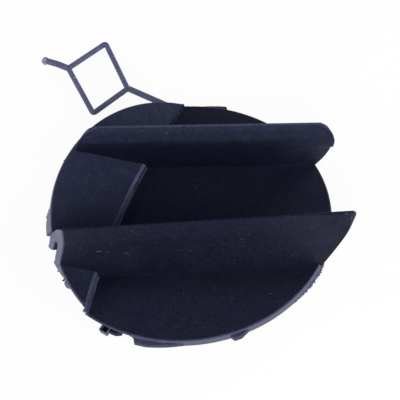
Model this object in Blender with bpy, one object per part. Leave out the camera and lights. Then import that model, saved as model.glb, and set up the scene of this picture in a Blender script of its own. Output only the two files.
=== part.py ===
"""Cover for the tow eye opening of a car bumper, seen from its back.

One plastic moulding: a round skin with a raised, inclined pad on its left, two
snap rails with folded hooks, a thin tether with a square loop, and the small
moulding marks on its rim.

Frame: X along the rails, Y across them, Z up out of the back face.
The flat part of the outer face lies on Z = 0, with the disc's centre on the axis.
"""
import math

import bmesh
import bpy
from mathutils import Vector

MM = 0.001

# Round outline, stretched along X, whose walls lean as they rise over the back face.
DISC_RADIUS = 40.0
OUTLINE_STRETCH = 1.099
WALL_LEAN_X = 27.3
WALL_LEAN_Y = -3.4
RIM_FLARE = 0.10
ROUND_STEPS = 96

# Skin, the bend in it and the raised pad.
SKIN = 3.2
PAD_SLOPE = 28.9
PAD_HEADING = 162.2
PAD_DROP = 6.9
PAD_THICKNESS = 5.4
PAD_BOW = 0.00106
STEP_X = -18.55
STEP_SKEW = 0.364
STEP_BOW = 0.00264
STEP_RUN = 1.1
STEP_FILLET = 0.8
BEND_LENGTH = 9.0

# Snap rails: places along Y, and the section that both share.
RAIL_OFFSET = 18.7
RAIL_TOE_IN = 0.03
RAIL_HEIGHT = 24.9
RAIL_WALL = 1.6
RAIL_ROOT = 0.4
CREASE_IN = 1.9
CREASE_HEIGHT = 18.6
APEX_IN = 2.9
APEX_ROUND = 0.4
HOOK_BROW_IN = 4.4
HOOK_BROW = 22.7
HOOK_REACH = 5.4
HOOK_SHOULDER = 17.8
HOOK_TIP_IN = 4.3
HOOK_TIP_ROUND = 0.5
LOWER_HOOK_TIP = 11.6
UPPER_HOOK_TIP = 15.0
HOOK_CROTCH = 17.4

# Rail ends in side view, as (how far they pass the rim, height) along the foot of the outer face,
# and how far each end runs along X for each millimetre inwards.
LOWER_LEFT_END = ((-4.1, 0.0), (-5.0, 7.7), (-7.6, 14.5), (-9.3, 19.3), (-10.2, 23.0), (-10.6, 24.9))
LOWER_RIGHT_END = ((1.7, 0.0), (4.8, 8.3), (7.0, 15.4), (7.7, 20.5), (6.9, 23.8), (5.0, 24.9))
UPPER_LEFT_END = ((-6.4, 0.0), (-8.9, 10.0), (-10.8, 16.3), (-12.4, 20.8), (-14.9, 24.0), (-17.9, 24.9))
UPPER_RIGHT_END = ((0.5, 0.0), (2.6, 5.6), (4.0, 12.0), (3.2, 16.0), (3.5, 19.2), (2.8, 22.6), (0.6, 24.9))
LOWER_LEFT_SKEW = -1.1
UPPER_LEFT_SKEW = -0.55
RIGHT_SKEW = 0.5

# Tether: a strip that leaves the rim, with a four-sided loop and a stub past it.
# Its corners are measured from the top of the rim.
TETHER_WIDTH = 1.85
TETHER_ROOT_WIDTH = 2.1
TETHER_THICKNESS = 1.1
TETHER_HEIGHT = 1.15
TETHER_ROOT = (-1.0, -1.4)
LOOP_NEAR = (-18.7, 8.9)
LOOP_TOP = (-26.7, 28.0)
LOOP_FAR = (-38.8, 18.3)
LOOP_BOTTOM = (-29.6, -0.5)
LOOP_CORNER = 0.8
STUB_END = (-46.2, 21.7)

# Rim stretches that are undercut, as (first heading, last heading, depth, share that deepens, share that
# grows shallow), with headings in degrees.
UNDERCUT_LAND = 0.8
UNDERCUT_SPARE = 0.1
UNDERCUTS = ((205.0, 251.0, 2.6, 0.2, 0.01), (152.0, 191.0, 1.1, 0.2, 0.35))

# Gap in the rim under the lower hook, which leaves room for the mould's core.
CORE_GAP_WIDTH = 8.2
CORE_GAP_DRAFT = 0.25
CORE_GAP_EDGE = -35.8
CORE_GAP_TOP = 12.2

# Small marks of the moulding on the rim.
TAB_HEADING = 237.2
TAB_WIDTH = 2.5
TAB_PAST_RIM = 2.8
TAB_TOP = 2.4
TAB_WALL = 0.6
TAB_POCKET = 1.1

# Ledges on the rim, as (first heading, last heading, reach, top, share that rises, share that falls).
LEDGE_FOOT = 0.15
LEDGE_SINK = 1.0
RIM_LEDGES = (
    (71.8, 84.0, 1.1, 3.0, 0.06, 0.94),
    (240.8, 246.0, 0.5, 1.8, 0.15, 0.4),
    (251.0, 271.5, 1.3, 1.9, 0.03, 0.75),
    (287.2, 294.4, 1.1, 2.2, 0.15, 0.2),
    (317.0, 338.5, 0.9, 1.1, 0.6, 0.25),
)

# Points nearer than this after the Booleans are one point.
WELD = 0.004

COLOUR = (0.018, 0.021, 0.034, 1.0)
ROUGHNESS = 0.5

LEAN_X = math.tan(math.radians(WALL_LEAN_X))
LEAN_Y = math.tan(math.radians(WALL_LEAN_Y))
PAD_GRADE = math.tan(math.radians(PAD_SLOPE))
PAD_ACROSS = PAD_THICKNESS / math.cos(math.radians(PAD_SLOPE))


def clear_scene():
    for old in list(bpy.data.objects):
        bpy.data.objects.remove(old, do_unlink=True)


def pad_plane(x, y):
    """Height of the pad's plane over the table."""
    heading = math.radians(PAD_HEADING)
    along = x * math.cos(heading) + y * math.sin(heading)
    return SKIN - PAD_DROP + PAD_GRADE * along


def pad_z(x, y):
    """Height of the pad, which bows up past the rails."""
    return pad_plane(x, y) + PAD_BOW * (y * y - RAIL_OFFSET * RAIL_OFFSET)


def step_x(y):
    """Foot of the step between the flat back face and the pad."""
    return STEP_X + STEP_SKEW * y + STEP_BOW * y * y


def bend_x(y):
    """Line where the sloping outer face meets the flat one."""
    return (PAD_ACROSS - pad_z(0.0, y)) / (PAD_GRADE * math.cos(math.radians(PAD_HEADING)))


def rim_point(heading, z, inset=0.0):
    """Point of the round outline at a height over the table."""
    turn = math.radians(heading)
    above = z - SKIN
    grow = -inset - RIM_FLARE * min(above, 0.0)
    rise = max(above, 0.0)
    half_x = DISC_RADIUS * OUTLINE_STRETCH + grow
    half_y = DISC_RADIUS + grow
    return Vector((half_x * math.cos(turn) + LEAN_X * rise, half_y * math.sin(turn) + LEAN_Y * rise, z))


def rim_height(heading):
    """Height of the back face or the pad where it meets the round outline."""
    z = SKIN
    for _ in range(12):
        edge = rim_point(heading, z)
        z = max(pad_z(edge.x, edge.y), SKIN) if edge.x < step_x(edge.y) else SKIN
    return z


def object_from(name, verts, faces):
    """Mesh object in metres from points in millimetres, with its faces turned out."""
    mesh = bpy.data.meshes.new(name)
    mesh.from_pydata([Vector(v) * MM for v in verts], [], faces)
    shape = bmesh.new()
    shape.from_mesh(mesh)
    bmesh.ops.recalc_face_normals(shape, faces=shape.faces)
    shape.to_mesh(mesh)
    shape.free()
    made = bpy.data.objects.new(name, mesh)
    bpy.context.collection.objects.link(made)
    return made


def loft(name, rings):
    """Closed body through rings that all have as many points."""
    count = len(rings[0])
    verts = [point for ring in rings for point in ring]
    faces = []
    for low in range(len(rings) - 1):
        for i in range(count):
            j = (i + 1) % count
            a, b = low * count, (low + 1) * count
            faces.append((a + i, a + j, b + j, b + i))
    faces.append(tuple(range(count)))
    faces.append(tuple(range(len(verts) - count, len(verts))))
    return object_from(name, verts, faces)


def combine(base, tool, operation):
    """Boolean of base with tool, kept on base."""
    step = base.modifiers.new(operation, "BOOLEAN")
    step.operation = operation
    step.object = tool
    step.solver = "EXACT"
    graph = bpy.context.evaluated_depsgraph_get()
    result = bpy.data.meshes.new_from_object(base.evaluated_get(graph))
    base.modifiers.clear()
    base.data = result
    bpy.data.objects.remove(tool, do_unlink=True)
    return base


def arc(centre, radius, start, end, steps):
    """Points of an arc in a plane, with its angles in degrees."""
    turns = [math.radians(start + (end - start) * i / steps) for i in range(steps + 1)]
    return [(centre[0] + radius * math.cos(t), centre[1] + radius * math.sin(t)) for t in turns]


def curve_between(start, bend, end, steps):
    """Points of a smooth curve from start to end that leans on the point bend."""
    points = []
    for i in range(steps + 1):
        t = i / steps
        points.append(tuple((1 - t) ** 2 * a + 2 * t * (1 - t) * b + t * t * c
                            for a, b, c in zip(start, bend, end)))
    return points


def smooth_line(stations, steps):
    """Smooth curve through stations, with even steps between them."""
    ends = [stations[0]] + list(stations) + [stations[-1]]
    points = []
    for a, b, c, d in zip(ends, ends[1:], ends[2:], ends[3:]):
        for i in range(steps):
            t = i / steps
            points.append(tuple(0.5 * (2 * q + (r - p) * t + (2 * p - 5 * q + 4 * r - w) * t * t
                                       + (3 * q - p - 3 * r + w) * t ** 3) for p, q, r, w in zip(a, b, c, d)))
    return points + [stations[-1]]


def skin_section(y, reach):
    """Section of the skin and pad at one Y, as (x, z) points."""
    foot = step_x(y)
    top = foot - STEP_RUN
    lip = (top, max(pad_z(top, y), SKIN + STEP_FILLET * 0.5))
    before = (top - STEP_FILLET, pad_z(top - STEP_FILLET, y))
    share = STEP_FILLET / math.hypot(STEP_RUN, lip[1] - SKIN)
    after = (lip[0] + share * STEP_RUN, lip[1] + share * (SKIN - lip[1]))
    bend = bend_x(y)
    half = BEND_LENGTH / 2
    points = [(-reach, pad_z(-reach, y))]
    points += curve_between(before, lip, after, 4)
    points += [(foot, SKIN), (reach, SKIN), (reach, 0.0)]
    points += curve_between((bend + half, 0.0), (bend, 0.0),
                            (bend - half, pad_z(bend - half, y) - PAD_ACROSS), 6)
    points.append((-reach, pad_z(-reach, y) - PAD_ACROSS))
    return points


def make_skin():
    reach = DISC_RADIUS * 1.5
    stations = 25
    rings = []
    for i in range(stations):
        y = -reach * 0.8 + 1.6 * reach * i / (stations - 1)
        rings.append([(x, y, z) for x, z in skin_section(y, reach)])
    return loft("skin", rings)


def make_outline():
    """Body of the round outline, to cut the skin with."""
    levels = (-2.0, SKIN, SKIN + RAIL_HEIGHT)
    rings = []
    for z in levels:
        rings.append([rim_point(360.0 * i / ROUND_STEPS, z) for i in range(ROUND_STEPS)])
    return loft("outline", rings)


def make_undercut(first, last, depth, deepening, shallowing):
    """Body that takes away the lower edge of one stretch of the rim."""
    rings = []
    steps = 16
    for i in range(steps + 1):
        part = i / steps
        level = max(0.0, min(1.0, part / deepening, (1.0 - part) / shallowing))
        heading = first + (last - first) * part
        back = rim_height(heading)
        top = back - UNDERCUT_LAND
        low = min(top - 1.2, max(back - PAD_ACROSS, 0.0))
        reach = depth * level * level * (top - low) / SKIN - UNDERCUT_SPARE
        outer = rim_point(heading, low, -3.0)
        rings.append([
            (outer.x, outer.y, low - 1.5),
            tuple(rim_point(heading, low - 1.5, reach + level)),
            tuple(rim_point(heading, low, reach)),
            tuple(rim_point(heading, top, -0.2)),
            (outer.x, outer.y, top),
        ])
    return loft("undercut", rings)


def make_core_gap():
    """Body that opens the rim between the lower rail's wall and the middle, wider below than above."""
    far = -DISC_RADIUS * 1.4
    rings = []
    for z in (-2.0, SKIN + CORE_GAP_TOP):
        wide = RAIL_WALL + CORE_GAP_WIDTH + CORE_GAP_DRAFT * (SKIN + CORE_GAP_TOP - z)
        places = ((RAIL_WALL, CORE_GAP_EDGE), (RAIL_WALL, far), (wide, far), (wide, CORE_GAP_EDGE))
        rings.append([rail_place(-1, x, inwards, z - SKIN) for inwards, x in places])
    return loft("core_gap", rings)


def rail_section(hook_tip):
    """Section of a rail, as (inwards, height) from the foot of its outer face."""
    lean = CREASE_IN / CREASE_HEIGHT
    inner = lean * HOOK_CROTCH + RAIL_WALL
    tip = (HOOK_TIP_IN, hook_tip + HOOK_TIP_ROUND)
    apex = (APEX_IN, RAIL_HEIGHT - APEX_ROUND)
    points = [(-RAIL_ROOT, -SKIN / 2), (-RAIL_ROOT, 0.0), (0.0, RAIL_ROOT)]
    points += curve_between((lean * (CREASE_HEIGHT - 2.0), CREASE_HEIGHT - 2.0), (CREASE_IN, CREASE_HEIGHT),
                            (CREASE_IN + 0.2, CREASE_HEIGHT + 2.0), 3)
    points += arc(apex, APEX_ROUND, 170, 30, 4)
    brow = (HOOK_BROW_IN, HOOK_BROW)
    shoulder = (HOOK_REACH, HOOK_SHOULDER)
    points += curve_between((HOOK_BROW_IN - 0.5, HOOK_BROW + 1.0), brow, (HOOK_BROW_IN + 0.25, HOOK_BROW - 1.3), 3)
    points += curve_between((HOOK_REACH - 0.3, HOOK_SHOULDER + 1.8), shoulder,
                            (HOOK_REACH - 0.05, HOOK_SHOULDER - 1.4), 3)
    points += arc(tip, HOOK_TIP_ROUND, -20, -170, 4)
    points += curve_between((inner + 0.45, HOOK_CROTCH - 1.2), (inner + 0.25, HOOK_CROTCH),
                            (inner - 0.1, HOOK_CROTCH - 1.2), 3)
    points += [(RAIL_WALL, RAIL_ROOT), (RAIL_WALL + RAIL_ROOT, 0.0), (RAIL_WALL + RAIL_ROOT, -SKIN / 2)]
    return points


def rail_place(side, x, inwards, height):
    """Point of a rail in the part's frame. Side is -1 for the lower rail, 1 for the upper."""
    y = side * (RAIL_OFFSET - RAIL_TOE_IN * x - inwards)
    return (x, y, SKIN + height)


def end_keeper(side, stations, skew, towards):
    """Body that a rail is cut to at one end. Towards is the sign of X of that end."""
    far = -towards * DISC_RADIUS * 1.6
    top = RAIL_HEIGHT + 2.0
    rim_x = DISC_RADIUS * OUTLINE_STRETCH * math.sqrt(1.0 - (RAIL_OFFSET / DISC_RADIUS) ** 2)
    outline = [(towards * (rim_x + past), z) for past, z in stations]
    last = outline[-1]
    side_view = [(outline[0][0] - towards, -4.0)] + smooth_line(outline, 4)
    side_view += [(last[0] - 0.1 * towards, top), (far, top), (far, -4.0)]
    rings = []
    for inwards in (-3.0, HOOK_REACH + 3.0):
        rings.append([rail_place(side, x + skew * inwards, inwards, z) for x, z in side_view])
    return loft("end_keeper", rings)


def make_keeper_above():
    """Body over the middle of the skin, which the feet of the rails are cut to."""
    reach = DISC_RADIUS * 1.5
    top = SKIN + RAIL_HEIGHT + 2.0
    rings = []
    for y in (-reach, reach):
        low = pad_plane(-reach, y) - PAD_ACROSS / 2
        missing = SKIN / 2 - pad_plane(0.0, y) + PAD_ACROSS / 2
        middle = missing / (PAD_GRADE * math.cos(math.radians(PAD_HEADING)))
        rings.append([(-reach, y, low), (middle, y, SKIN / 2), (reach, y, SKIN / 2), (reach, y, top), (-reach, y, top)])
    return loft("keeper_above", rings)


def make_rail(side, hook_tip, left_end, left_skew, right_end):
    reach = DISC_RADIUS * 1.35
    rings = []
    for x in (-reach, reach):
        rings.append([rail_place(side, x, inwards, z) for inwards, z in rail_section(hook_tip)])
    rail = loft("rail", rings)
    combine(rail, end_keeper(side, left_end, left_skew, -1), "INTERSECT")
    combine(rail, end_keeper(side, right_end, RIGHT_SKEW, 1), "INTERSECT")
    return combine(rail, make_keeper_above(), "INTERSECT")


def cut_corners(corners, back):
    """Closed outline with each corner cut off at a distance before and after it."""
    outline = []
    for i, corner in enumerate(corners):
        here = Vector(corner)
        for other in (Vector(corners[i - 1]), Vector(corners[(i + 1) % len(corners)])):
            outline.append(here + (other - here).normalized() * back)
    return outline


def offset_loop(corners, out):
    """Corners of a closed outline moved out by a distance, with square mitres."""
    moved = []
    for i, corner in enumerate(corners):
        here = Vector(corner)
        before = (here - Vector(corners[i - 1])).normalized()
        after = (Vector(corners[(i + 1) % len(corners)]) - here).normalized()
        across = Vector((before.y + after.y, -before.x - after.x)).normalized()
        reach = out / max(across.dot(Vector((after.y, -after.x))), 0.3)
        moved.append(here + across * reach)
    return moved


def flat_prism(name, outline, low, high):
    return loft(name, [[(p[0], p[1], z) for p in outline] for z in (low, high)])


def bar(start, end, width, low, high):
    """Straight flat strip between two points."""
    a = Vector(start)
    b = Vector(end)
    side = Vector((a.y - b.y, b.x - a.x)).normalized() * (width / 2)
    return flat_prism("bar", [a - side, b - side, b + side, a + side], low, high)


def from_rim(corner):
    """Place of a tether corner in plan."""
    return (corner[0], DISC_RADIUS + corner[1])


def make_tether():
    low = TETHER_HEIGHT
    high = TETHER_HEIGHT + TETHER_THICKNESS
    half = TETHER_WIDTH / 2
    near, top, far, bottom = [from_rim(c) for c in (LOOP_NEAR, LOOP_TOP, LOOP_FAR, LOOP_BOTTOM)]
    corners = cut_corners((near, top, far, bottom), LOOP_CORNER)
    tether = flat_prism("tether", offset_loop(corners, half), low, high)
    hole = flat_prism("hole", offset_loop(corners, -half), low - 1.0, high + 1.0)
    combine(tether, hole, "DIFFERENCE")
    combine(tether, bar(from_rim(TETHER_ROOT), near, TETHER_ROOT_WIDTH, low - 0.05, high + 0.05), "UNION")
    return combine(tether, bar(far, from_rim(STUB_END), TETHER_WIDTH, low, high), "UNION")


def box_along(heading, near, far, width, low, high):
    """Box that points out from the disc's centre."""
    turn = math.radians(heading)
    out = Vector((math.cos(turn), math.sin(turn)))
    side = Vector((-out.y, out.x)) * (width / 2)
    corners = [out * near - side, out * far - side, out * far + side, out * near + side]
    return loft("box", [[(c.x, c.y, z) for c in corners] for z in (low, high)])


def make_tab():
    """Small hollow tab under the rim."""
    end = DISC_RADIUS + TAB_PAST_RIM
    tab = box_along(TAB_HEADING, DISC_RADIUS - 4.5, end, TAB_WIDTH, 0.0, TAB_TOP)
    pocket = box_along(TAB_HEADING, DISC_RADIUS - 0.5, end - TAB_WALL, TAB_WIDTH - 2 * TAB_WALL,
                       TAB_TOP - TAB_POCKET, TAB_TOP + 1.0)
    return combine(tab, pocket, "DIFFERENCE")


def make_ledge(first, last, reach, top, rising, falling):
    """Low ledge along a stretch of the rim, which grows and fades along its length."""
    steps = 16
    rings = []
    for i in range(steps + 1):
        part = i / steps
        level = max(0.0, min(1.0, part / rising, (1.0 - part) / falling))
        out = reach * level - (1.0 - level) * LEDGE_FOOT
        heading = first + (last - first) * part
        rings.append([rim_point(heading, LEDGE_FOOT, LEDGE_SINK), rim_point(heading, LEDGE_FOOT, -out),
                      rim_point(heading, top, -out), rim_point(heading, top, LEDGE_SINK)])
    return loft("ledge", rings)


def add_ledges(body):
    for measures in RIM_LEDGES:
        combine(body, make_ledge(*measures), "UNION")


def plastic():
    material = bpy.data.materials.new("cover_plastic")
    material.use_nodes = True
    shader = material.node_tree.nodes["Principled BSDF"]
    shader.inputs["Base Color"].default_value = COLOUR
    shader.inputs["Roughness"].default_value = ROUGHNESS
    shader.inputs["Metallic"].default_value = 0.0
    return material


def finish(body):
    """Join near points, take out needless edges and set the shading."""
    shape = bmesh.new()
    shape.from_mesh(body.data)
    bmesh.ops.remove_doubles(shape, verts=shape.verts, dist=WELD * MM)
    bmesh.ops.triangulate(shape, faces=shape.faces)
    shape.to_mesh(body.data)
    shape.free()
    body.data.shade_smooth()
    body.data.set_sharp_from_angle(angle=math.radians(30))
    body.data.materials.clear()
    body.data.materials.append(plastic())


def main():
    clear_scene()
    cover = make_skin()
    combine(cover, make_outline(), "INTERSECT")
    for measures in UNDERCUTS:
        combine(cover, make_undercut(*measures), "DIFFERENCE")
    combine(cover, make_core_gap(), "DIFFERENCE")
    combine(cover, make_rail(-1, LOWER_HOOK_TIP, LOWER_LEFT_END, LOWER_LEFT_SKEW, LOWER_RIGHT_END), "UNION")
    combine(cover, make_rail(1, UPPER_HOOK_TIP, UPPER_LEFT_END, UPPER_LEFT_SKEW, UPPER_RIGHT_END), "UNION")
    combine(cover, make_tab(), "UNION")
    add_ledges(cover)
    combine(cover, make_tether(), "UNION")
    cover.name = "tow_hook_cover"
    finish(cover)


main()
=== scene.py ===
"""Dressed model of a cover for a bumper's tow eye opening, seen from its back.

A round matt plastic moulding: an inclined skin with a raised pad, two snap rails
with folded hooks, a thin tether with a four-sided loop, and the rough lips, teeth
and nubs that moulding left on the rim.
"""
import math
import random
from collections import namedtuple

import bmesh
import bpy
from bpy.props import FloatProperty, FloatVectorProperty, IntProperty, PointerProperty
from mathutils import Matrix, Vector


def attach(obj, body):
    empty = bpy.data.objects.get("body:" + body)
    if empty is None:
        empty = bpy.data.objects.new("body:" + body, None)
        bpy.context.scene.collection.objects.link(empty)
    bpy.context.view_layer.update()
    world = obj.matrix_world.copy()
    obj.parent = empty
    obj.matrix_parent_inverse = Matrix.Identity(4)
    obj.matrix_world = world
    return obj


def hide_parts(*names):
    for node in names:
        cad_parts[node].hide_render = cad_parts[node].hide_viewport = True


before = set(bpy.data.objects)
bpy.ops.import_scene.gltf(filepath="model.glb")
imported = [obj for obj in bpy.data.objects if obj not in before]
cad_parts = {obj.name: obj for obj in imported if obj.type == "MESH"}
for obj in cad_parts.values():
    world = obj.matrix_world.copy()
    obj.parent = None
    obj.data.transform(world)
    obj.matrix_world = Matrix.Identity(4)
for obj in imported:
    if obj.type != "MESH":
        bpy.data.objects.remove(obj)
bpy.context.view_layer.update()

bl_info = {
    "name": "Tow Hook Cover",
    "version": (1, 0, 0),
    "blender": (4, 5, 0),
    "location": "3D View > Sidebar > Tow Cover",
    "description": "Models a snap-in cover for a bumper's tow eye opening",
    "category": "Object",
}

MM = 0.001

# Material slots of the skin and the rails: main plastic, rubbed edges with a painted highlight, sides with
# painted light, and the step's edge with a painted highlight.
MAIN, RUBBED_AND_HIGHLIT, SIDE, STEP = range(4)

# Rail ends in side view, in millimetres, as (how far they pass the rim, height).
LOWER_LEFT_END = ((-4.1, 0.0), (-5.0, 7.7), (-7.6, 14.5), (-9.3, 19.3), (-10.2, 23.0), (-10.6, 24.9))
LOWER_RIGHT_END = ((1.7, 0.0), (4.8, 8.3), (7.0, 15.4), (7.7, 20.5), (6.9, 23.8), (5.0, 24.9))
UPPER_LEFT_END = ((-6.4, 0.0), (-8.9, 10.0), (-10.8, 16.3), (-12.4, 20.8), (-14.9, 24.0), (-17.9, 24.9))
UPPER_RIGHT_END = ((0.5, 0.0), (2.6, 5.6), (4.0, 12.0), (3.2, 16.0), (3.5, 19.2), (2.8, 22.6), (0.6, 24.9))

# Rails, as (name, side, size that holds the height of the hook's edge, left end and its skew, right end).
RAILS = (
    ("lower_rail", -1, "lower_tip", LOWER_LEFT_END, -1.1, LOWER_RIGHT_END),
    ("upper_rail", 1, "upper_tip", UPPER_LEFT_END, -0.55, UPPER_RIGHT_END),
)
RIGHT_SKEW = 0.5

# X of the rails' sections, in metres: close together over the middle.
RAIL_SECTIONS = [-0.054] + [-0.018 + 0.0045 * i for i in range(13)] + [0.054]

# Tether corners in plan, in mm from the top of the rim: loop, strip from the rim, torn stub and burr.
TETHER_LOOP = ((-18.7, 8.9), (-26.7, 28.0), (-38.8, 18.3), (-29.6, -0.3))
TETHER_ROOT = ((-2.0, -0.6), (-9.6, 3.8), (-18.4, 8.9))
STUB_PATH = ((-38.8, 18.3), (-42.6, 20.3), (-46.4, 21.8))
BURR_PLACE = (-36.3, 13.7)

# Undercut stretches of the rim, as (first and last heading, depth in mm, shares of the length over which the
# cut deepens and grows shallow).
UNDERCUTS = ((201.0, 251.0, 2.6, 0.22, 0.01), (152.0, 191.0, 1.1, 0.2, 0.35))

# Ledges on the rim, as (name, first and last heading, reach and top in mm, shares that rise and fall,
# material).
RIM_LEDGES = (
    ("far_ledge", 71.8, 84.0, 1.1, 3.0, 0.06, 0.94, "rubbed_edge"),
    ("tab_bump", 240.8, 246.0, 0.6, 1.9, 0.15, 0.4, "moulded_plastic"),
    ("front_lip", 251.0, 271.5, 1.3, 1.9, 0.03, 0.75, "rubbed_edge"),
    ("front_bump", 287.2, 294.8, 1.1, 2.2, 0.15, 0.5, "rubbed_edge"),
)

# Headings between which a web joins the lower rail's left foot to the rim.
FOOT_WEB = (204.0, 213.5)

# Lumps on the rim, as (name, heading, height and place outwards in mm, radii in mm, roughness, material).
RIM_LUMPS = (
    ("thorn", 213.4, 7.9, -0.55, (0.85, 0.26, 0.28), 0.08, "moulded_plastic"),
    ("edge_nub", 216.2, 8.2, -0.3, (0.95, 1.5, 0.8), 0.06, "side_face"),
    ("corner_fin", 229.0, 4.0, -0.5, (0.9, 0.45, 0.7), 0.2, "side_face"),
)

# How far the marks reach into the rim, and the rounding of their edges.
SINK = MM
MARK_ROUND = 0.12 * MM

# Paler stretches of painted light, as heights in mm over which they begin, a second axis and its stretch in
# mm, the way both are joined, and the largest share.
Paler = namedtuple("Paler", "heights axis stretch joined most")
FROM_BELOW = (-1.0, -0.5)
# Painted light: the pad grows paler away from the lower rail, whose shade falls on its near part.
PALER_PAD = Paler((4.0, 5.5), "Y", (-25.0, 9.0), "MULTIPLY", 1.0)
# Painted light: the upper rail is paler on its upper band, as a painted highlight, and towards its right end.
PALER_UPPER_RAIL = Paler((21.6, 24.0), "X", (20.0, 46.0), "MAXIMUM", 0.72)
# Painted light: the lower rail is a little paler on its upper band and towards its right end, as a painted
# reflection.
PALER_LOWER_RAIL = Paler((20.0, 22.4), "X", (14.0, 48.0), "MAXIMUM", 0.14)
# Painted highlight on the step's rounded upper edge, brighter away from the lower rail.
PALER_STEP = Paler(FROM_BELOW, "Y", (-4.0, 15.0), "MULTIPLY", 0.95)
# Painted light: the steep sides grow paler towards the left.
PALER_SIDE = Paler(FROM_BELOW, "X", (-12.0, -44.0), "MULTIPLY", 0.72)

# Fineness of the patterns in the plastic, per metre.
CLOUDS = 55.0
SCUFFED_PLACES = 95.0
POLISH = 160.0
SWELL = 230.0
PALER_PATCHES = 260.0
SPECKS = 330.0
BLOTCHES = 420.0
MOTTLE = 1500.0
SCUFF_LINES = 1900.0

# Lamps, as (name, place in metres). They point at the middle, and each takes its power from the stage.
LAMPS = (
    ("left_light", (-0.86, 0.0, 0.28)),
    ("front_light", (0.0, -0.68, 0.59)),
    ("right_light", (0.80, -0.29, 0.29)),
    ("far_light", (0.60, 0.61, 0.28)),
)
LAMP_WIDTH = 0.5
FLOOR_TINT = (0.92, 0.92, 0.93, 1.0)
FLOOR_GLOW = 0.92
SKY_TINT = (0.96, 0.98, 1.0, 1.0)
WHITE = (1.0, 1.0, 1.0, 1.0)


def number(label, note, default, **kind):
    return FloatProperty(name=label, description=note, default=default, **kind)


def length(label, note, default):
    return number(label, note, default * MM, unit="LENGTH", precision=5)


def angle(label, note, default):
    return number(label, note, math.radians(default), unit="ROTATION")


def share(label, note, default):
    return number(label, note, default, min=0.0, soft_max=1.0)


def power(label, note, default):
    return number(label, note, default, unit="POWER")


def colour(label, note, default):
    return FloatVectorProperty(name=label, description=note, default=default, size=4, min=0.0, max=1.0,
                               subtype="COLOR")


class SkinSizes(bpy.types.PropertyGroup):
    """Sizes of the round skin and its pad."""
    radius: length("Disc radius", "Radius of the round outline, square to the way it is pushed in", 40.0)
    stretch: number("Stretch", "Length of the outline along X over its width", 1.099)
    lean_x: angle("Lean along", "Lean of the rising walls towards +X", 27.3)
    lean_y: angle("Lean across", "Lean of the rising walls towards +Y", -3.4)
    flare: share("Rim flare", "How far the rim widens for each millimetre below the back face", 0.10)
    skin: length("Skin", "Thickness of the flat part", 3.2)
    pad_slope: angle("Pad slope", "Slope of the raised pad", 28.9)
    pad_heading: angle("Pad heading", "Direction in which the pad rises", 162.2)
    pad_drop: length("Pad drop", "Depth of the pad's plane below the back face at the middle", 6.9)
    pad_thickness: length("Pad thickness", "Thickness of the sloping part", 5.4)
    pad_bow: number("Pad bow", "How the pad bows up past the rails, per metre", 1.06)
    step_x: length("Step place", "Foot of the step on the middle line", -18.55)
    step_skew: share("Step skew", "Slant of the step across the disc", 0.364)
    step_bow: number("Step bow", "Bow of the step, per metre", 2.64)
    step_run: length("Step run", "Length over which the step falls", 0.4)
    step_round: length("Step rounding", "Rounding of the step's upper edge", 0.7)
    bend_round: length("Bend rounding", "Half width of the soft bend in the outer face", 4.5)
    edge_round: length("Edge rounding", "Rounding of the rim's edges", 0.35)
    undercut_land: length("Undercut land", "Full edge left above the undercut", 0.8)
    gap_width: length("Core gap width", "Width of the gap in the rim under the lower hook", 8.2)
    gap_draft: share("Core gap draft", "How fast the gap widens towards the outer face", 0.25)
    gap_edge: length("Core gap edge", "X of the gap's inner edge", -35.8)
    gap_top: length("Core gap top", "Height of the gap over the back face", 12.2)


class RailSizes(bpy.types.PropertyGroup):
    """Sizes of the snap rails."""
    offset: length("Rail offset", "Distance of a rail's outer face from the middle", 18.7)
    toe_in: share("Toe-in", "How fast the rails close towards +X", 0.03)
    height: length("Rail height", "Height over the back face", 24.9)
    wall: length("Rail wall", "Thickness of the wall", 1.6)
    crease_in: length("Crease inset", "How far the outer face leans in up to its crease", 1.9)
    crease_height: length("Crease height", "Height of the crease in the outer face", 18.6)
    apex_in: length("Apex inset", "Inset of the rounded top", 2.9)
    apex_round: length("Apex rounding", "Radius of the rounded top", 0.4)
    brow_in: length("Brow inset", "Inset of the hook's upper bend", 4.4)
    brow_height: length("Brow height", "Height of the hook's upper bend", 22.7)
    reach: length("Hook reach", "Reach of the hook from the foot of the outer face", 5.4)
    shoulder: length("Hook shoulder", "Height of the hook's widest place", 17.8)
    tip_in: length("Hook tip inset", "Inset of the hook's lower edge", 4.3)
    tip_round: length("Hook tip rounding", "Radius of the hook's lower edge", 0.7)
    lower_tip: length("Lower hook tip", "Height of the lower rail's hook edge", 11.6)
    upper_tip: length("Upper hook tip", "Height of the upper rail's hook edge", 15.0)
    crotch: length("Hook crotch", "Height of the groove behind the hook", 17.4)
    root: length("Root fillet", "Fillet at the foot of a rail", 0.1)
    edge_round: length("Rail edge rounding", "Rounding of the rail ends", 0.25)


class MarkSizes(bpy.types.PropertyGroup):
    """Sizes of the tether and of the marks on the rim."""
    strip: length("Strip thickness", "Thickness of the tether's rounded strip", 1.75)
    height: length("Strip height", "Height of the strip's middle over the table", 1.7)
    bend: length("Corner bend", "Setback of the loop's rounded corners", 0.9)
    tab_heading: angle("Tab heading", "Place of the tab on the rim", 237.2)
    tab_width: length("Tab width", "Width of the tab", 2.6)
    tab_past: length("Tab reach", "How far the tab passes the rim", 2.8)
    tab_top: length("Tab top", "Height of the tab", 2.4)
    tab_wall: length("Tab wall", "Wall left round the tab's pocket", 0.35)
    flash_from: angle("Flash start", "Heading where the ragged flash starts", 312.0)
    flash_to: angle("Flash end", "Heading where the ragged flash ends", 338.5)
    flash: length("Flash reach", "How far the ragged flash stands out", 0.8)


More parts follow.
